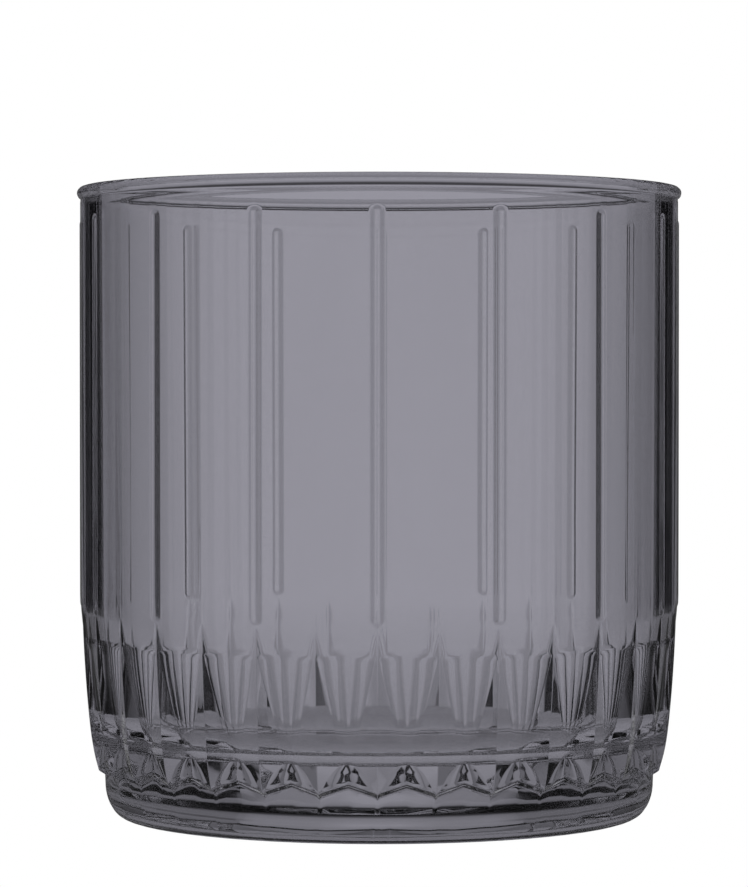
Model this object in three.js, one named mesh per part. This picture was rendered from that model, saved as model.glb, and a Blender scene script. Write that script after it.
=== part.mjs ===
// A pressed-glass whiskey tumbler: one piece of smoke-tinted glass, in millimetres, +Z up.
// Its axis is the Z axis, it rests on z = 0, and one of its ribs faces -Y.
import * as THREE from 'three';

// Overall
const HEIGHT = 85.0;
const WALL_RADIUS = 40.43; // outside, between the ribs
const WALL_TOP = 83.3; // where the wall meets the rim bead
const BEAD_RADIUS = 40.9;
const BEAD_ROUND = 0.85; // radius of the bead's outer half circle
const BEAD_START = -30; // degrees below level at which the bead leaves the wall
const LIP_ROUND = 0.9; // rounding of the lip towards the inside

// Bowl
const BORE_RADIUS = 38.45; // just under the rim
const BORE_LOW_RADIUS = 37.95; // from its lower part down to the turn
const BORE_LOW = 30.0;
const BORE_TURN = 5.0; // radius of the turn from the wall to the floor
const FLOOR_HEIGHT = 10.2; // the thick bottom, measured at its middle

// Vertical ribs, each above every other kite
const RIB_COUNT = 16;
const RIB_TOP = 81.0;
const RIB_FOOT = 27.8;
const RIB_END = 1.1; // length of the run-out at each end
const RIB_HALF_WIDTH = 1.05;
const RIB_CROWN = 0.75; // half width of its full part
const RIB_HEIGHT = 0.21;
const RIB_POWER = 4; // how squarely its section keeps its height towards the edge

// The taper below the wall, which carries the kites
const TAPER_TOP = 28.7;
const TAPER_SLOPE = 0.1;
const TAPER_GROWTH = 0.002;

// Kites, two to each rib, and the hollows between them
const KITE_APEX = 24.6;
const KITE_SHOULDER = 10.6; // where a kite is widest
const RIDGE_SHOULDER = 8.8; // where its ridge stands highest
const KITE_TIP = 6.1;
const KITE_HALF_WIDTH = 3.3;
const KITE_ROWS = [18.0, 21.5]; // heights of the rows between shoulder and apex
const FACET_SLOPE = 0.31; // rise of an upper facet towards the ridge, mm per mm
const TIP_RADIUS = 37.97;
const CUP_TOP = 13.9;
const CUP_FOOT = 11.1;
const CUP_MIDDLE = (CUP_FOOT + CUP_TOP) / 2;
const CUP_DEPTH = 0.13;
const SKIRT_FOOT = 7.5; // where the band meets the plain foot between two kite tips
const SKIRT_STAND = 0.3; // how far the skirt stands out below a hollow
const TIP_LEAN = 0.85; // rise of the zigzag border away from a tip, mm per mm
const BORDER_HALF_STEP = 0.3; // half the height of the border's step onto the foot

// Foot
const FOOT_TOP_RADIUS = 37.25;
const FOOT_LOW_RADIUS = 37.15;
const FOOT_CORNER = 4.7; // height of the foot's rounded corner
const FOOT_TOP = 5.5;
const RING_OUTER_RADIUS = 34.25; // the flat ring that the tumbler rests on
const RING_INNER_RADIUS = 32.4;
const PUNT_HEIGHT = 1.3; // the shallow hollow under the bottom
const PUNT_SHARES = [0, 0.5, 0.8]; // places of its rows, as shares of the ring's inner radius

// The mesh: columns follow the pattern, four to each half of a rib's share
const COLUMNS_PER_HALF = 4;
const SEGMENTS = RIB_COUNT * 2 * COLUMNS_PER_HALF;
const SHARE = (2 * Math.PI) / RIB_COUNT;
const CORNER_STEPS = 4;

const GLASS = new THREE.MeshStandardMaterial({
  name: 'smoke_glass',
  color: 0x94949c,
  roughness: 0.03,
  metalness: 0,
  transparent: true,
  opacity: 0.5,
});

/** Straight-line value between two heights, held level outside them. */
function between(z, z0, value0, z1, value1) {
  const t = THREE.MathUtils.clamp((z - z0) / (z1 - z0), 0, 1);
  return THREE.MathUtils.lerp(value0, value1, t);
}

/** Radius of the plain wall and of the taper below it. */
function taperRadius(z) {
  const depth = Math.max(TAPER_TOP - z, 0);
  return WALL_RADIUS - TAPER_SLOPE * depth - TAPER_GROWTH * depth ** 2;
}

/** Half the width of a kite at a height, as its upper edges run, kept going below its shoulder. */
function upperWidth(z) {
  return Math.max(0, (KITE_HALF_WIDTH * (KITE_APEX - z)) / (KITE_APEX - KITE_SHOULDER));
}

/** Half the width of a kite at a height: widest at its shoulder, nothing at its tip and apex. */
function kiteHalfWidth(z) {
  return Math.min(upperWidth(z), between(z, KITE_TIP, 0, KITE_SHOULDER, KITE_HALF_WIDTH));
}

/** Radius along the ridge of a kite, which runs out into the taper at the apex. */
function ridgeRadius(z) {
  const upper = (height) => taperRadius(height) + FACET_SLOPE * upperWidth(height);
  if (z < RIDGE_SHOULDER) {
    return between(z, KITE_TIP, TIP_RADIUS, RIDGE_SHOULDER, upper(RIDGE_SHOULDER));
  }
  return upper(z);
}

/** Radius between two kites: the taper, pressed in by a shallow hollow with a skirt below it. */
function hollowRadius(z) {
  const skirt = between(z, SKIRT_FOOT, SKIRT_STAND, CUP_FOOT, SKIRT_STAND / 2);
  if (z <= CUP_FOOT) {
    return Math.max(taperRadius(z) + skirt, FOOT_TOP_RADIUS + SKIRT_STAND);
  }
  const rising = between(z, CUP_FOOT, 0, CUP_MIDDLE, CUP_DEPTH);
  const falling = between(z, CUP_TOP, CUP_DEPTH, KITE_APEX, 0);
  return taperRadius(z) - Math.min(rising, falling);
}

/** Height of the zigzag border above a place, in mm along the surface from a kite's ridge. */
function borderHeight(place) {
  return Math.min(KITE_TIP + TIP_LEAN * place, SKIRT_FOOT);
}

/** How far a rib stands out at a height: full along its length and running out at both ends. */
function ribHeight(z) {
  const low = between(z, RIB_FOOT, 0, RIB_FOOT + RIB_END, 1);
  const high = between(z, RIB_TOP - RIB_END, 1, RIB_TOP, 0);
  return RIB_HEIGHT * Math.min(low, high);
}

/** Points of a quarter or part ellipse from one angle to another, in degrees, both ends included. */
function arc(radius, z, across, upright, from, to, steps = CORNER_STEPS) {
  return Array.from({ length: steps + 1 }, (_, i) => {
    const angle = THREE.MathUtils.degToRad(THREE.MathUtils.lerp(from, to, i / steps));
    return new THREE.Vector2(radius + across * Math.cos(angle), z + upright * Math.sin(angle));
  });
}

/** The underside and foot, from the axis out to the top of the plain foot. */
function footOutline() {
  const punt = PUNT_SHARES.map(
    (share) => new THREE.Vector2(RING_INNER_RADIUS * share, PUNT_HEIGHT * (1 - share ** 2)),
  );
  return [
    ...punt,
    new THREE.Vector2(RING_INNER_RADIUS, 0),
    ...arc(RING_OUTER_RADIUS, FOOT_CORNER, FOOT_LOW_RADIUS - RING_OUTER_RADIUS, FOOT_CORNER, -90, 0),
    new THREE.Vector2(FOOT_TOP_RADIUS, FOOT_TOP),
  ];
}

/** Heights of the level rows in the patterned zone, from the kites' ridge shoulders to the rib tops. */
function patternHeights() {
  const lowerKite = [RIDGE_SHOULDER, KITE_SHOULDER, CUP_FOOT, CUP_MIDDLE, CUP_TOP];
  const upperKite = [...KITE_ROWS, KITE_APEX];
  const ribEnds = [RIB_FOOT, RIB_FOOT + RIB_END, RIB_TOP - RIB_END, RIB_TOP];
  return [...lowerKite, ...upperKite, ...ribEnds];
}

/** The rim bead and lip, from the top of the wall over to the bore. */
function rimOutline() {
  return [
    new THREE.Vector2(WALL_RADIUS, WALL_TOP),
    ...arc(BEAD_RADIUS - BEAD_ROUND, HEIGHT - BEAD_ROUND, BEAD_ROUND, BEAD_ROUND, BEAD_START, 90),
    ...arc(BORE_RADIUS + LIP_ROUND, HEIGHT - LIP_ROUND, LIP_ROUND, LIP_ROUND, 90, 180, 2),
  ];
}

/** The inside, from under the lip down the wall and across the floor to the axis. */
function boreOutline() {
  return [
    new THREE.Vector2(BORE_LOW_RADIUS, BORE_LOW),
    ...arc(BORE_LOW_RADIUS - BORE_TURN, FLOOR_HEIGHT + BORE_TURN, BORE_TURN, BORE_TURN, 0, -90),
    new THREE.Vector2(0, FLOOR_HEIGHT),
  ];
}

/** Columns of half a rib's share on the ribbed wall: place in mm from the rib, and radius. */
function wallColumns(z) {
  const half = (SHARE / 2) * WALL_RADIUS;
  const rib = ribHeight(z);
  const wall = taperRadius(z);
  const crown = 1 - (RIB_CROWN / RIB_HALF_WIDTH) ** RIB_POWER;
  return [
    [0, wall + rib],
    [RIB_CROWN, wall + rib * crown],
    [RIB_HALF_WIDTH, wall],
    [half / 2, wall],
    [half, wall],
  ];
}

/** Columns of half a rib's share in the band: ridge, edge, middle of the hollow, edge, ridge. */
function bandColumns(z) {
  const half = (SHARE / 2) * taperRadius(z);
  const edge = Math.max(kiteHalfWidth(z), RIB_HALF_WIDTH / 2);
  const flank = taperRadius(z);
  return [
    [0, ridgeRadius(z)],
    [edge, flank],
    [half / 2, hollowRadius(z)],
    [half - edge, flank],
    [half, ridgeRadius(z)],
  ];
}

/** Columns along the zigzag border: four places over half a kite's reach, at one radius. */
function borderColumns(radius) {
  const half = (SHARE / 2) * FOOT_TOP_RADIUS;
  const reach = (SKIRT_FOOT - KITE_TIP) / TIP_LEAN;
  return [0, reach, half / 2, half - reach, half].map((place) => [place, radius]);
}

/** Presses the pattern into one row of the revolved blank. */
function pressRow(position, row, rows, columns, heightAt) {
  const half = columns[COLUMNS_PER_HALF][0];
  for (let column = 0; column <= SEGMENTS; column += 1) {
    const step = column % (2 * COLUMNS_PER_HALF);
    const mirrored = step > COLUMNS_PER_HALF;
    const [place, radius] = columns[mirrored ? 2 * COLUMNS_PER_HALF - step : step];
    const turn = ((SHARE / 2) * place) / half;
    const start = Math.floor(column / (2 * COLUMNS_PER_HALF)) * SHARE;
    const angle = start + (mirrored ? SHARE - turn : turn);
    const height = heightAt(Math.min(place, half - place));
    position.setXYZ(column * rows + row, radius * Math.sin(angle), height, radius * Math.cos(angle));
  }
}

/** The whole tumbler: a revolved blank whose patterned rows are pressed, turned to stand on +Z. */
function tumblerGeometry() {
  const foot = footOutline();
  const heights = patternHeights();
  const border = [FOOT_TOP, SKIRT_FOOT].map((z) => new THREE.Vector2(FOOT_TOP_RADIUS, z));
  const pattern = heights.map((z) => new THREE.Vector2(WALL_RADIUS, z));
  const outline = [...foot, ...border, ...pattern, ...rimOutline(), ...boreOutline()];
  const geometry = new THREE.LatheGeometry(outline, SEGMENTS);
  const position = geometry.getAttribute('position');
  const press = (row, columns, heightAt) => pressRow(position, row, outline.length, columns, heightAt);
  press(foot.length, borderColumns(FOOT_TOP_RADIUS), (place) => borderHeight(place) - BORDER_HALF_STEP);
  press(foot.length + 1, borderColumns(TIP_RADIUS), (place) => borderHeight(place) + BORDER_HALF_STEP);
  heights.forEach((z, i) => {
    const columns = z < RIB_FOOT ? bandColumns(z) : wallColumns(z);
    press(foot.length + border.length + i, columns, () => z);
  });
  geometry.rotateX(Math.PI / 2);
  geometry.computeVertexNormals();
  return geometry;
}

const tumbler = new THREE.Mesh(tumblerGeometry(), GLASS);
tumbler.name = 'tumbler_glass';

const object = new THREE.Group();
object.name = 'whiskey_tumbler';
object.add(tumbler);

export default object;
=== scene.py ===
"""A pressed smoke-glass whiskey tumbler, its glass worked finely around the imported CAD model."""

import logging
import math
from dataclasses import dataclass

import bpy
import numpy as np
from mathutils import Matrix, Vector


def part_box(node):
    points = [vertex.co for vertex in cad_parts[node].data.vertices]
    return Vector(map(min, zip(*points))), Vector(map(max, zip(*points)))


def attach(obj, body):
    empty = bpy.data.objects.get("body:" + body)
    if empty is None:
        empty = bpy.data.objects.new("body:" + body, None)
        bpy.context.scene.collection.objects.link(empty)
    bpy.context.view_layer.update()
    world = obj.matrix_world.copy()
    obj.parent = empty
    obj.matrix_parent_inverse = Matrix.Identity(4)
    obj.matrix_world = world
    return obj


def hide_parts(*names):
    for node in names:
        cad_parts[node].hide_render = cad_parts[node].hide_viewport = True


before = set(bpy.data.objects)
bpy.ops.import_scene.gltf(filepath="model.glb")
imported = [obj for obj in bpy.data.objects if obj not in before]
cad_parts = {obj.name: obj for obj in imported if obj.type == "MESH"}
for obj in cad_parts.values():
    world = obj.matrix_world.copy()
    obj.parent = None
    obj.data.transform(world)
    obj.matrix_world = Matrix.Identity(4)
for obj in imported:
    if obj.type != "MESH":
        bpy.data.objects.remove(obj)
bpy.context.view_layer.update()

LOG = logging.getLogger("tumbler")
NODE = "tumbler_glass"
BODY = "root"
MM = 0.001


# ---------------------------------------------------------------- curves shared by the outlines


def ramp(z: np.ndarray, z0: float, v0: float, z1: float, v1: float) -> np.ndarray:
    """Straight-line value between two heights, held level outside them.

    Args:
        z: heights, in mm.
        z0, v0: the lower height and its value.
        z1, v1: the upper height and its value.

    Returns:
        The value at each height.
    """
    return v0 + (v1 - v0) * np.clip((z - z0) / (z1 - z0), 0.0, 1.0)


def ease(t: np.ndarray) -> np.ndarray:
    """Smooth step from 0 to 1: 3t squared less 2t cubed, held level outside."""
    t = np.clip(t, 0.0, 1.0)
    return t * t * (3.0 - 2.0 * t)


def soft_max(a: np.ndarray, b: np.ndarray, round_mm: float) -> np.ndarray:
    """The larger of two surfaces with the crease between them rounded.

    The formula is the mean of both plus half the root of their difference squared and
    the rounding squared, so far from the crease it is the plain maximum.

    Args:
        a, b: the two surfaces' radii, in mm.
        round_mm: how much the crease is filled, in mm.

    Returns:
        The joined surface's radius.
    """
    return 0.5 * (a + b + np.sqrt((a - b) ** 2 + round_mm**2) - round_mm)


def soft_min(a: np.ndarray, b: np.ndarray, round_mm: float) -> np.ndarray:
    """The smaller of two surfaces with the crease rounded, the mirror image of soft_max."""
    return -soft_max(-a, -b, round_mm)


def arc(centre: tuple[float, float], radius: float, start: float, stop: float, steps: int) -> np.ndarray:
    """Points of a circular arc in the outline's plane.

    Args:
        centre: radius and height of the arc's centre, in mm.
        radius: radius of the arc, in mm.
        start, stop: first and last angle in degrees, 0 pointing away from the axis.
        steps: number of equal steps.

    Returns:
        An array of (radius, height) rows, both ends included.
    """
    angle = np.radians(np.linspace(start, stop, steps + 1))
    return np.column_stack([centre[0] + radius * np.cos(angle), centre[1] + radius * np.sin(angle)])


# ---------------------------------------------------------------- the pressed pattern


@dataclass
class Pattern:
    """Fine ribs on the wall and the tapered band of raised kites below them, all in mm."""

    wall_radius: float = 40.43
    wall_top: float = 82.8
    rib_count: int = 16
    rib_half_width: float = 1.05
    rib_height: float = 0.21
    rib_top: float = 81.0
    rib_foot: float = 27.8
    rib_flank: float = 0.85
    rib_dome: float = 0.02
    taper_top: float = 28.7
    taper_slope: float = 0.1
    taper_growth: float = 0.002
    taper_round: float = 0.1
    apex: float = 24.6
    shoulder: float = 10.6
    kite_half_width: float = 3.3
    facet_slope: float = 0.31
    ridge_shoulder: float = 8.8
    turn_round: float = 0.5
    tip: float = 6.1
    tip_radius: float = 37.97
    cup_top: float = 13.9
    cup_foot: float = 11.1
    cup_depth: float = 0.13
    cup_curve: float = 1.0
    skirt_foot: float = 7.5
    skirt_stand: float = 0.3
    tip_lean: float = 0.85
    hem_drop: float = 0.3
    hem: float = 0.9
    foot_top_radius: float = 37.25
    crease: float = 0.03

    @property
    def share(self) -> float:
        """Angle between two neighbouring kites, in radians."""
        return math.pi / self.rib_count

    def cone(self, z: np.ndarray) -> np.ndarray:
        """Radius of the wall: plain, then falling by the depth and its square, with a soft bend."""
        depth = self.taper_top - z
        taper = self.wall_radius - self.taper_slope * depth - self.taper_growth * np.abs(depth) * depth
        return soft_min(np.full_like(depth, self.wall_radius), taper, self.taper_round)

    def kite_width(self, z: np.ndarray) -> np.ndarray:
        """Half the width of a kite: it grows from the tip to the shoulder and closes at the apex."""
        lower = ramp(z, self.tip, 0.0, self.shoulder, self.kite_half_width)
        upper = ramp(z, self.shoulder, self.kite_half_width, self.apex, 0.0)
        return np.minimum(lower, upper)

    def ridge(self, z: np.ndarray) -> np.ndarray:
        """Radius along a kite's upper ridge: the taper and the rise of a facet over its width."""
        width = self.kite_half_width * (self.apex - z) / (self.apex - self.shoulder)
        return self.cone(z) + self.facet_slope * width

    def kite(self, place: np.ndarray, z: np.ndarray) -> np.ndarray:
        """Radius of a kite: two upper facets cut off by two steeper ones that meet at the tip."""
        top = float(self.ridge(np.array(self.ridge_shoulder)))
        lean = (top - self.tip_radius) / (self.ridge_shoulder - self.tip)
        corner = float(self.cone(np.array(self.shoulder)))
        fall = (self.tip_radius + lean * (self.shoulder - self.tip) - corner) / self.kite_half_width
        upper = self.ridge(z) - self.facet_slope * place
        lower = self.tip_radius + lean * (z - self.tip) - fall * place
        return soft_min(upper, lower, self.turn_round)

    def ground(self, gap: np.ndarray, z: np.ndarray) -> np.ndarray:
        """Radius between the kites: the taper, a shallow cup with a round end, and a plain skirt.

        The cup's height is shifted by the square of the distance from its middle.

        Args:
            gap: distance along the surface from the middle between two kites, in mm.
            z: height, in mm.

        Returns:
            The radius, in mm.
        """
        level = z - self.cup_curve * gap**2
        cup = ramp(level, self.cup_foot, self.cup_depth, self.cup_top, 0.0)
        skirt = ramp(level, self.skirt_foot, self.skirt_stand + self.cup_depth, self.cup_foot, 0.0)
        return self.cone(z) - cup + skirt

    def radius(self, place: np.ndarray, z: np.ndarray, across: np.ndarray) -> np.ndarray:
        """Radius of the pressed outside.

        The band is the higher of the kites and the ground between them. Below a hem that
        zigzags round the tips it steps back to the plain foot, and the ribs stand on the wall.

        Args:
            place: distance along the surface from the nearest kite's ridge, in mm.
            z: height, in mm.
            across: distance along the surface from the nearest rib's crest, in mm.

        Returns:
            The radius, in mm.
        """
        half = 0.5 * self.share * self.cone(z)
        band = soft_max(self.kite(place, z), self.ground(half - place, z), self.crease)
        above = ease((z - self.border(place) + self.hem_drop) / self.hem)
        return self.foot_top_radius + (band - self.foot_top_radius) * above + self.rib(across, z)

    def border(self, place: np.ndarray) -> np.ndarray:
        """Height of the band's lower border: it climbs away from each tip, then runs level."""
        return np.minimum(self.tip + self.tip_lean * place, self.skirt_foot)

    def rib(self, across: np.ndarray, z: np.ndarray) -> np.ndarray:
        """Height of a rib: a low dome with steep eased flanks, and round ends in plan.

        The flank is taken over the distance from the rib's middle line, which stops half a
        width short of each end.
        """
        past = np.maximum(self.rib_foot + self.rib_half_width - z, z - self.rib_top + self.rib_half_width)
        away = np.hypot(across, np.maximum(past, 0.0))
        dome = self.rib_height - self.rib_dome * (away / self.rib_half_width) ** 2
        return dome * ease((self.rib_half_width - away) / self.rib_flank)


# ---------------------------------------------------------------- the glass


@dataclass
class TumblerGlass:
    """The tumbler's one piece of glass: pressed outside, rim bead, bowl, thick bottom and foot."""

    pattern: Pattern
    height: float
    bead_radius: float
    bead_round: float = 0.85
    lip_round: float = 0.9
    bore_radius: float = 38.45
    bore_low_radius: float = 37.95
    bore_low: float = 30.0
    bore_turn: float = 5.0
    floor_height: float = 10.2
    foot_low_radius: float = 37.15
    foot_height: float = 4.7
    ring_outer: float = 34.25
    ring_inner: float = 32.4
    punt_height: float = 1.3
    ridge_columns: int = 1
    facet_columns: int = 4
    scoop_columns: int = 2
    crease_half_width: float = 0.07

    def foot_outline(self) -> np.ndarray:
        """The underside and foot, from next to the axis out to just under the kite tips."""
        share = np.linspace(0.04, 1.0, 10)
        punt = np.column_stack([self.ring_inner * share, self.punt_height * (1.0 - share**2)])
        turn = np.radians(np.linspace(-90.0, 0.0, 13))
        width = self.foot_low_radius - self.ring_outer
        corner = np.column_stack(
            [self.ring_outer + width * np.cos(turn), self.foot_height * (1.0 + np.sin(turn))]
        )
        return np.vstack([punt, corner])

    def rim_outline(self) -> np.ndarray:
        """The bead and lip, from the top of the wall over to the bore."""
        bead = (self.bead_radius - self.bead_round, self.height - self.bead_round)
        lip = (self.bore_radius + self.lip_round, self.height - self.lip_round)
        wall = self.pattern.wall_radius
        return np.vstack(
            [
                np.column_stack([wall + np.array([0.0, 0.0, 0.01, 0.05]), bead[1] - np.array([1.0, 0.86, 0.8, 0.72])]),
                arc(bead, self.bead_round, -42.0, 90.0, 12),
                arc(lip, self.lip_round, 90.0, 180.0, 10),
            ]
        )

    def bowl_outline(self) -> np.ndarray:
        """The inside, from under the lip down the wall and across the floor to next to the axis."""
        lip_foot = self.height - self.lip_round
        turn_top = self.floor_height + self.bore_turn
        z = np.concatenate(
            [lip_foot - np.array([0.04, 0.1, 0.4]), np.linspace(lip_foot - 2.0, self.bore_low, 6), turn_top + np.array([2.0, 0.1])]
        )
        wall = np.column_stack([ramp(z, self.bore_low, self.bore_low_radius, self.height, self.bore_radius), z])
        centre = (self.bore_low_radius - self.bore_turn, turn_top)
        turn = arc(centre, self.bore_turn, 0.0, -90.0, 24)
        inner = np.linspace(centre[0], 1.2, 5)[1:]
        return np.vstack([wall, turn, np.column_stack([inner, np.full_like(inner, self.floor_height)])])

    def pattern_heights(self) -> np.ndarray:
        """Heights of the rows across the band and the ribbed wall, closer where it turns."""
        p = self.pattern
        runs = [
            np.linspace(p.tip - p.hem_drop, p.tip - p.hem_drop + p.hem, 8),
            np.linspace(p.tip + p.hem, p.cup_foot, 17),
            np.linspace(p.cup_foot + 0.3, p.apex - 0.2, 30),
            np.linspace(p.apex + 0.3, p.rib_foot - 0.4, 4),
            np.linspace(p.rib_foot - 0.05, p.rib_foot + p.rib_half_width, 13),
            np.linspace(p.rib_foot + 2.0, p.rib_top - 2.0, 5),
            np.linspace(p.rib_top - p.rib_half_width, p.rib_top + 0.05, 13),
            np.linspace(p.rib_top + 0.5, p.wall_top, 3),
        ]
        return np.concatenate(runs)

    def column_places(self, z: np.ndarray) -> np.ndarray:
        """Angle of each column from a rib's middle across half a rib's share, for each row.

        The columns follow the ridges, the kites' edges and the ribs' flanks, with a close
        pair on either side of each crease.

        Args:
            z: heights of the rows, in mm.

        Returns:
            Angles in radians, one row per height.
        """
        p = self.pattern
        half = p.share
        girth = np.full_like(z, p.wall_radius)
        ribbed = z > p.apex - 0.5
        edge = np.where(ribbed, p.rib_half_width, np.maximum(p.kite_width(z), 0.3)) / girth
        near = self.crease_half_width / girth
        inner = np.where(ribbed, (p.rib_half_width - p.rib_flank) / girth, near)
        side = np.stack([0 * z, inner, edge - near, edge, edge + near])
        stops = np.concatenate([side, half - side[::-1]])
        flank = [self.ridge_columns, self.facet_columns, 1, 1]
        counts = [*flank, self.scoop_columns, *flank[::-1]]
        parts = [
            stops[i] + (stops[i + 1] - stops[i]) * t
            for i, count in enumerate(counts)
            for t in np.arange(count) / count
        ]
        return np.stack([*parts, stops[-1]], axis=1)

    def columns(self, z: np.ndarray) -> np.ndarray:
        """Angles of all columns around the tumbler, for each row, in radians."""
        p = self.pattern
        half = self.column_places(z)
        full = np.concatenate([half, 2.0 * p.share - half[:, -2:0:-1]], axis=1)
        starts = 2.0 * p.share * np.arange(p.rib_count)
        return (full[:, None, :] + starts[None, :, None]).reshape(len(z), -1)

    def pressed_rows(self) -> tuple[np.ndarray, np.ndarray, np.ndarray]:
        """Angle, radius and height of every point of the patterned zone, as rows by columns."""
        p = self.pattern
        z = self.pattern_heights()
        angle = self.columns(z)
        level = np.repeat(z[:, None], angle.shape[1], axis=1)
        rib_turn = (angle + p.share) % (2.0 * p.share) - p.share
        kite_turn = (angle + 0.5 * p.share) % p.share - 0.5 * p.share
        place = np.abs(kite_turn) * p.cone(level)
        fade = np.minimum(
            ramp(level, self.foot_height, 0.0, p.tip - p.hem_drop, 1.0), ramp(level, p.tip + p.hem, 1.0, p.cup_foot, 0.0)
        )
        z = level + (p.border(place) - p.tip) * fade
        girth = p.cone(z)
        radius = p.radius(np.abs(kite_turn) * girth, z, np.abs(rib_turn) * girth)
        return angle, radius, z

    def plain_rows(self, outline: np.ndarray) -> tuple[np.ndarray, np.ndarray, np.ndarray]:
        """Angle, radius and height of an outline turned about the axis, as rows by columns."""
        angle = self.columns(outline[:, 1])
        shape = angle.shape
        radius = np.broadcast_to(outline[:, :1], shape)
        return angle, radius, np.broadcast_to(outline[:, 1:], shape)

    def build(self) -> bpy.types.Object:
        """Makes the glass as one closed skin.

        The outline runs from the axis under the bottom, out over the foot, up the pressed
        wall, over the rim and down the bowl to the axis again. Each point is the radius
        times the sine and minus the cosine of its angle, at its height.

        Returns:
            The mesh object, still without a material.
        """
        blocks = [
            self.plain_rows(self.foot_outline()),
            self.pressed_rows(),
            self.plain_rows(self.rim_outline()),
            self.plain_rows(self.bowl_outline()),
        ]
        angle, radius, z = (np.vstack([block[i] for block in blocks]) for i in range(3))
        rows, columns = angle.shape
        ring = np.stack([radius * np.sin(angle), -radius * np.cos(angle), z], axis=-1).reshape(-1, 3)
        poles = [[0.0, 0.0, self.punt_height], [0.0, 0.0, self.floor_height]]
        points = np.vstack([ring, poles]) * MM
        faces, caps = grid_faces(rows, columns)
        return mesh_object("tumbler", points, faces, caps)


def grid_faces(rows: int, columns: int) -> tuple[np.ndarray, np.ndarray]:
    """Faces of a grid that closes around its columns and is capped by a pole at each end.

    Args:
        rows: number of rows of points.
        columns: number of points in each row.

    Returns:
        The four-sided faces, and the triangles of the first and last cap.
    """
    row = np.arange(rows - 1)[:, None] * columns
    here = np.arange(columns)[None, :]
    there = (here + 1) % columns
    quads = np.stack([row + here, row + there, row + columns + there, row + columns + here], axis=-1)
    first, last = np.full(columns, rows * columns), np.full(columns, rows * columns + 1)
    ring, after, end = here[0], there[0], (rows - 1) * columns
    caps = np.vstack([np.column_stack([first, after, ring]), np.column_stack([last, end + ring, end + after])])
    return quads.reshape(-1, 4), caps


def mesh_object(name: str, points: np.ndarray, quads: np.ndarray, caps: np.ndarray) -> bpy.types.Object:
    """Puts points and faces into a smooth mesh.

    Args:
        name: the object's name.
        points: vertices, in metres.
        quads: four-sided faces.
        caps: triangles.

    Returns:
        The object, linked to the scene.
    """
    mesh = bpy.data.meshes.new(name)
    corners = np.concatenate([quads.ravel(), caps.ravel()]).astype(np.int32)
    sizes = np.concatenate([np.full(len(quads), 4), np.full(len(caps), 3)]).astype(np.int32)
    mesh.vertices.add(len(points))
    mesh.vertices.foreach_set("co", points.astype(np.float32).ravel())
    mesh.loops.add(len(corners))
    mesh.loops.foreach_set("vertex_index", corners)
    mesh.polygons.add(len(sizes))
    mesh.polygons.foreach_set("loop_start", (np.cumsum(sizes) - sizes).astype(np.int32))
    mesh.update(calc_edges=True)
    mesh.validate()
    mesh.shade_smooth()
    made = bpy.data.objects.new(name, mesh)
    bpy.context.scene.collection.objects.link(made)
    return made


# ---------------------------------------------------------------- materials


def tree_of(owner: bpy.types.Material | bpy.types.World) -> bpy.types.NodeTree:
    """Turns nodes on and returns an empty node tree."""
    owner.use_nodes = True
    owner.node_tree.nodes.clear()
    return owner.node_tree


def sum_node(tree: bpy.types.NodeTree, operation: str, *terms: object) -> bpy.types.NodeSocket:
    """A sum of one to three terms, each a socket or a plain number; returns its result."""
    node = tree.nodes.new("ShaderNodeMath")
    node.operation = operation
    for socket, term in zip(node.inputs, terms):
        if isinstance(term, bpy.types.NodeSocket):
            tree.links.new(term, socket)
        else:
            socket.default_value = term
    return node.outputs[0]


def ramp_node(
    tree: bpy.types.NodeTree, value: bpy.types.NodeSocket, stops: tuple[tuple[float, float], ...]
) -> bpy.types.NodeSocket:
    """A grey ramp over a value, from its (place, grey) stops; returns the grey."""
    node = tree.nodes.new("ShaderNodeValToRGB")
    elements = node.color_ramp.elements
    while len(elements) < len(stops):
        elements.new(0.5)
    for element, (place, grey) in zip(elements, stops):
        element.position = place
        element.color = (grey, grey, grey, 1.0)
    tree.links.new(value, node.inputs[0])
    return node.outputs[0]


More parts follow.
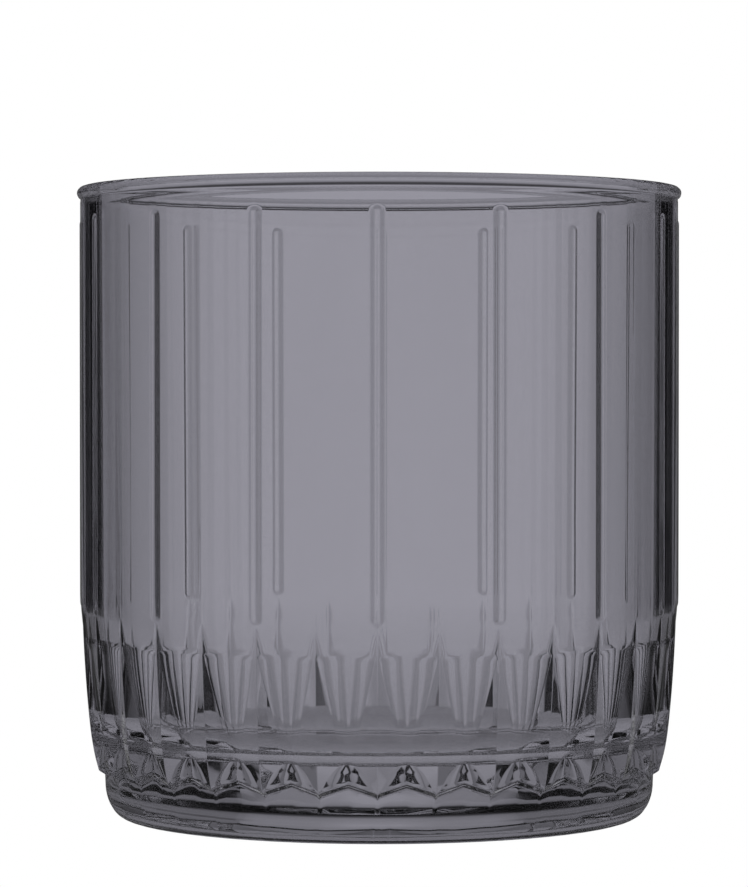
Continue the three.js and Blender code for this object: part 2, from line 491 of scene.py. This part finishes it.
def cords_and_painted_shade_group() -> bpy.types.NodeTree:
    """Uneven pressed glass, with a painted shade low down, as a shader node group.

    Long upright cords of slightly denser colour shift the tint, and the glass low down is
    darkened by height: painted shade standing in for thicker glass. A faint waviness from the
    mould turns the normal, and the resting ring is scuffed dull where it stands on a table.

    Returns:
        The group, with the tint and each effect's depth and heights going in, and the colour,
        roughness and normal coming out.
    """
    group = bpy.data.node_groups.new("pressed_glass_cords_and_painted_shade", "ShaderNodeTree")
    group.interface.new_socket("Tint", in_out="INPUT", socket_type="NodeSocketColor")
    for name in ("Cord depth", "Painted low shade", "Painted shade top", "Painted shade foot", "Wave height", "Scuff height", "Scuff roughness"):
        group.interface.new_socket(name, in_out="INPUT", socket_type="NodeSocketFloat")
    group.interface.new_socket("Colour", in_out="OUTPUT", socket_type="NodeSocketColor")
    group.interface.new_socket("Roughness", in_out="OUTPUT", socket_type="NodeSocketFloat")
    group.interface.new_socket("Normal", in_out="OUTPUT", socket_type="NodeSocketVector")
    given = group.nodes.new("NodeGroupInput")
    result = group.nodes.new("NodeGroupOutput")
    link = group.links.new
    coords = group.nodes.new("ShaderNodeTexCoord")
    stretch = group.nodes.new("ShaderNodeMapping")
    stretch.inputs["Scale"].default_value = (1.0, 1.0, 0.25)
    link(coords.outputs["Object"], stretch.inputs["Vector"])
    cords = group.nodes.new("ShaderNodeTexNoise")
    cords.inputs["Scale"].default_value = 90.0
    cords.inputs["Detail"].default_value = 2.0
    link(stretch.outputs["Vector"], cords.inputs["Vector"])
    centred = sum_node(group, "SUBTRACT", cords.outputs["Fac"], 0.5)
    cord_density_and_painted_shade = sum_node(group, "MULTIPLY_ADD", centred, given.outputs["Cord depth"], 1.0)
    height = group.nodes.new("ShaderNodeSeparateXYZ")
    link(coords.outputs["Object"], height.inputs[0])
    # Painted shade: below the top height the tint is darkened by height, fully at the foot height and under it,
    # standing in for thicker glass.
    drop = sum_node(group, "SUBTRACT", given.outputs["Painted shade top"], height.outputs["Z"])
    reach = sum_node(group, "SUBTRACT", given.outputs["Painted shade top"], given.outputs["Painted shade foot"])
    thick = sum_node(group, "MAXIMUM", sum_node(group, "MINIMUM", sum_node(group, "DIVIDE", drop, reach), 1.0), 0.0)
    painted_shade = sum_node(group, "MULTIPLY", thick, given.outputs["Painted low shade"])
    cord_density_and_painted_shade = sum_node(group, "MULTIPLY", cord_density_and_painted_shade, sum_node(group, "SUBTRACT", 1.0, painted_shade))
    shade = group.nodes.new("ShaderNodeVectorMath")
    shade.operation = "SCALE"
    link(given.outputs["Tint"], shade.inputs[0])
    link(cord_density_and_painted_shade, shade.inputs["Scale"])
    link(shade.outputs["Vector"], result.inputs["Colour"])
    level = sum_node(group, "DIVIDE", height.outputs["Z"], given.outputs["Scuff height"])
    fade = sum_node(group, "SUBTRACT", 1.0, level)
    fade = sum_node(group, "MAXIMUM", sum_node(group, "MINIMUM", fade, 1.0), 0.0)
    rubs = group.nodes.new("ShaderNodeTexNoise")
    rubs.inputs["Scale"].default_value = 900.0
    link(coords.outputs["Object"], rubs.inputs["Vector"])
    scuff = sum_node(group, "MULTIPLY", fade, rubs.outputs["Fac"])
    link(sum_node(group, "MULTIPLY", scuff, given.outputs["Scuff roughness"]), result.inputs["Roughness"])
    waves = group.nodes.new("ShaderNodeTexNoise")
    waves.inputs["Scale"].default_value = 70.0
    waves.inputs["Detail"].default_value = 0.0
    link(coords.outputs["Object"], waves.inputs["Vector"])
    bump = group.nodes.new("ShaderNodeBump")
    bump.inputs["Strength"].default_value = 1.0
    bump.inputs["Distance"].default_value = 1.0
    link(sum_node(group, "MULTIPLY", waves.outputs["Fac"], given.outputs["Wave height"]), bump.inputs["Height"])
    link(bump.outputs["Normal"], result.inputs["Normal"])
    return group


@dataclass(frozen=True)
class SmokeGlass:
    """Smoke-tinted glass: what one sight line lets through, how even and clear it is, and a painted shade low down."""

    name: str
    tint: tuple[float, float, float]
    ior: float = 1.5
    cord_depth: float = 0.12
    # Painted shade low down: the share the tint is darkened by, and the heights in metres where it starts and where it
    # is full.
    painted_low_shade: float = 0.4
    painted_shade_top: float = 0.031
    painted_shade_foot: float = 0.017
    wave_height: float = 0.000006
    scuff_height: float = 0.00035
    scuff_roughness: float = 0.5

    def material(self) -> bpy.types.Material:
        """The glass as a material, whose tint colours each sight line once, darkened low down by painted shade."""
        made = bpy.data.materials.new(self.name)
        tree = tree_of(made)
        out = tree.nodes.new("ShaderNodeOutputMaterial")
        shader = tree.nodes.new("ShaderNodeBsdfPrincipled")
        # The group's colour is the tint with the cords' tone and a painted shade that darkens the glass low down.
        cords = tree.nodes.new("ShaderNodeGroup")
        cords.node_tree = cords_and_painted_shade_group()
        cords.inputs["Tint"].default_value = (*self.tint, 1.0)
        cords.inputs["Cord depth"].default_value = self.cord_depth
        cords.inputs["Painted low shade"].default_value = self.painted_low_shade
        cords.inputs["Painted shade top"].default_value = self.painted_shade_top
        cords.inputs["Painted shade foot"].default_value = self.painted_shade_foot
        cords.inputs["Wave height"].default_value = self.wave_height
        cords.inputs["Scuff height"].default_value = self.scuff_height
        cords.inputs["Scuff roughness"].default_value = self.scuff_roughness
        path = tree.nodes.new("ShaderNodeLightPath")
        first = tree.nodes.new("ShaderNodeMix")
        first.data_type = "RGBA"
        clear, tinted = (socket for socket in first.inputs if socket.type == "RGBA")
        clear.default_value = (1.0, 1.0, 1.0, 1.0)
        result = next(socket for socket in first.outputs if socket.type == "RGBA")
        tree.links.new(cords.outputs["Colour"], tinted)
        tree.links.new(path.outputs["Is Camera Ray"], first.inputs["Factor"])
        tree.links.new(result, shader.inputs["Base Color"])
        tree.links.new(cords.outputs["Roughness"], shader.inputs["Roughness"])
        tree.links.new(cords.outputs["Normal"], shader.inputs["Normal"])
        shader.inputs["IOR"].default_value = self.ior
        shader.inputs["Transmission Weight"].default_value = 1.0
        tree.links.new(shader.outputs["BSDF"], out.inputs["Surface"])
        return made


# ---------------------------------------------------------------- studio


def shares(stops: tuple[tuple[float, float], ...], start: float) -> tuple[tuple[float, float], ...]:
    """Stops at angles in degrees, as shares of half a turn counted from minus the start."""
    return tuple(((angle + start) / 180.0, grey) for angle, grey in stops)


@dataclass
class Studio:
    """A pale floor, a soft surround and the camera."""

    panel_around: tuple[tuple[float, float], ...] = (
        (0, 1.0), (3.5, 1.0), (5.5, 0.86), (7.5, 0.76), (10, 0.72), (16, 0.68), (19, 0.3), (21.5, 0.01), (50, 0.01),
        (70, 0.3), (100, 0.7), (180, 0.7),
    )
    panel_upright: tuple[tuple[float, float], ...] = (
        (-90, 0.0), (-5.6, 0.0), (-4.6, 0.78), (-3.3, 1.0), (3.4, 1.0), (4.6, 0.4), (15, 0.2), (30, 0.0), (90, 0.0),
    )
    ring_upright: tuple[tuple[float, float], ...] = (
        (-90, 1.0), (-50, 0.9), (-24, 0.8), (-11, 0.62), (-5.6, 0.66), (-4.6, 0.0), (3.4, 0.0), (4.6, 0.5),
        (12, 0.45), (18, 0.03), (40, 0.0), (90, 0.0),
    )
    through: float = 0.56
    gloss: float = 0.1
    distance: float = 0.512
    eye_height: float = 0.0583
    lens: float = 152.97
    turn: float = 0.32
    tilt: float = 0.889
    aside: float = 0.078

    def world(self) -> None:
        """A surround in bright and dark panels, as round a bright-field glass set.

        The light is the product of one ramp over the turn from the back, in half turns, and
        one over the rise. Straight sight of it is plain white, and skin reflections are dimmed.
        """
        world = bpy.data.worlds.new("studio")
        bpy.context.scene.world = world
        tree = tree_of(world)
        nodes, link = tree.nodes, tree.links.new
        coords = nodes.new("ShaderNodeTexCoord")
        split = nodes.new("ShaderNodeSeparateXYZ")
        link(coords.outputs["Generated"], split.inputs[0])
        sideways = sum_node(tree, "ABSOLUTE", split.outputs["X"])
        turn = sum_node(tree, "ARCTAN2", sideways, split.outputs["Y"])
        turn = sum_node(tree, "DIVIDE", turn, math.pi)
        rise = sum_node(tree, "ARCSINE", split.outputs["Z"])
        rise = sum_node(tree, "MULTIPLY_ADD", rise, 1.0 / math.pi, 0.5)
        light = sum_node(
            tree,
            "MULTIPLY",
            ramp_node(tree, turn, shares(self.panel_around, 0.0)),
            ramp_node(tree, rise, shares(self.panel_upright, 90.0)),
        )
        light = sum_node(tree, "ADD", light, ramp_node(tree, rise, shares(self.ring_upright, 90.0)))
        path = nodes.new("ShaderNodeLightPath")
        off_skin = sum_node(tree, "SUBTRACT", path.outputs["Is Glossy Ray"], path.outputs["Is Transmission Ray"])
        off_skin = sum_node(tree, "MAXIMUM", off_skin, 0.0)
        share = sum_node(tree, "MULTIPLY_ADD", off_skin, self.gloss - self.through, self.through)
        lit = nodes.new("ShaderNodeBackground")
        link(sum_node(tree, "MULTIPLY", light, share), lit.inputs["Color"])
        shown = nodes.new("ShaderNodeBackground")
        shown.inputs["Color"].default_value = (1, 1, 1, 1)
        mix = nodes.new("ShaderNodeMixShader")
        out = nodes.new("ShaderNodeOutputWorld")
        link(path.outputs["Is Camera Ray"], mix.inputs[0])
        link(lit.outputs[0], mix.inputs[1])
        link(shown.outputs[0], mix.inputs[2])
        link(mix.outputs[0], out.inputs["Surface"])

    def floor(self) -> bpy.types.Object:
        """A wide pale floor that glows evenly, as a light table does."""
        side = 3.0
        mesh = bpy.data.meshes.new("floor")
        corners = [(-side, -side, 0), (side, -side, 0), (side, side, 0), (-side, side, 0)]
        mesh.from_pydata(corners, [], [(0, 1, 2, 3)])
        made = bpy.data.objects.new("floor", mesh)
        made.location.z = -0.0002
        made.visible_transmission = False
        made.visible_glossy = False
        bpy.context.scene.collection.objects.link(made)
        pale = bpy.data.materials.new("pale_floor")
        tree = tree_of(pale)
        out = tree.nodes.new("ShaderNodeOutputMaterial")
        glow = tree.nodes.new("ShaderNodeEmission")
        dim = tree.nodes.new("ShaderNodeEmission")
        dim.inputs["Color"].default_value = (0.5, 0.5, 0.5, 1)
        mix = tree.nodes.new("ShaderNodeMixShader")
        path = tree.nodes.new("ShaderNodeLightPath")
        tree.links.new(path.outputs["Is Camera Ray"], mix.inputs[0])
        tree.links.new(dim.outputs[0], mix.inputs[1])
        tree.links.new(glow.outputs[0], mix.inputs[2])
        tree.links.new(mix.outputs[0], out.inputs["Surface"])
        mesh.materials.append(pale)
        return made

    def camera(self) -> bpy.types.Object:
        """A level camera a little above mid height, close enough for a near view."""
        data = bpy.data.cameras.new("camera")
        data.lens = self.lens
        data.sensor_width = 36.0
        made = bpy.data.objects.new("camera", data)
        bpy.context.scene.collection.objects.link(made)
        turn = math.radians(self.turn)
        made.location = (self.distance * math.sin(turn), -self.distance * math.cos(turn), self.eye_height)
        made.rotation_euler = (math.radians(90.0 - self.tilt), 0.0, turn + math.radians(self.aside))
        bpy.context.scene.camera = made
        return made


def main() -> None:
    """Builds the tumbler and its studio."""
    logging.basicConfig(level=logging.INFO, format="%(message)s")
    low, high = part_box(NODE)
    glass = TumblerGlass(Pattern(), height=(high.z - low.z) / MM, bead_radius=high.x / MM)
    tumbler = glass.build()
    tumbler.data.materials.append(SmokeGlass("smoke_coat", (0.307, 0.295, 0.392)).material())
    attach(tumbler, BODY)
    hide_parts(NODE)
    LOG.info("tumbler: %d faces", len(tumbler.data.polygons))
    studio = Studio()
    studio.world()
    studio.floor()
    studio.camera()
    scene = bpy.context.scene
    scene.view_settings.view_transform = "Standard"
    scene.cycles.max_bounces = 24
    scene.cycles.transmission_bounces = 24
    scene.cycles.glossy_bounces = 24


if __name__ == "__main__":
    main()
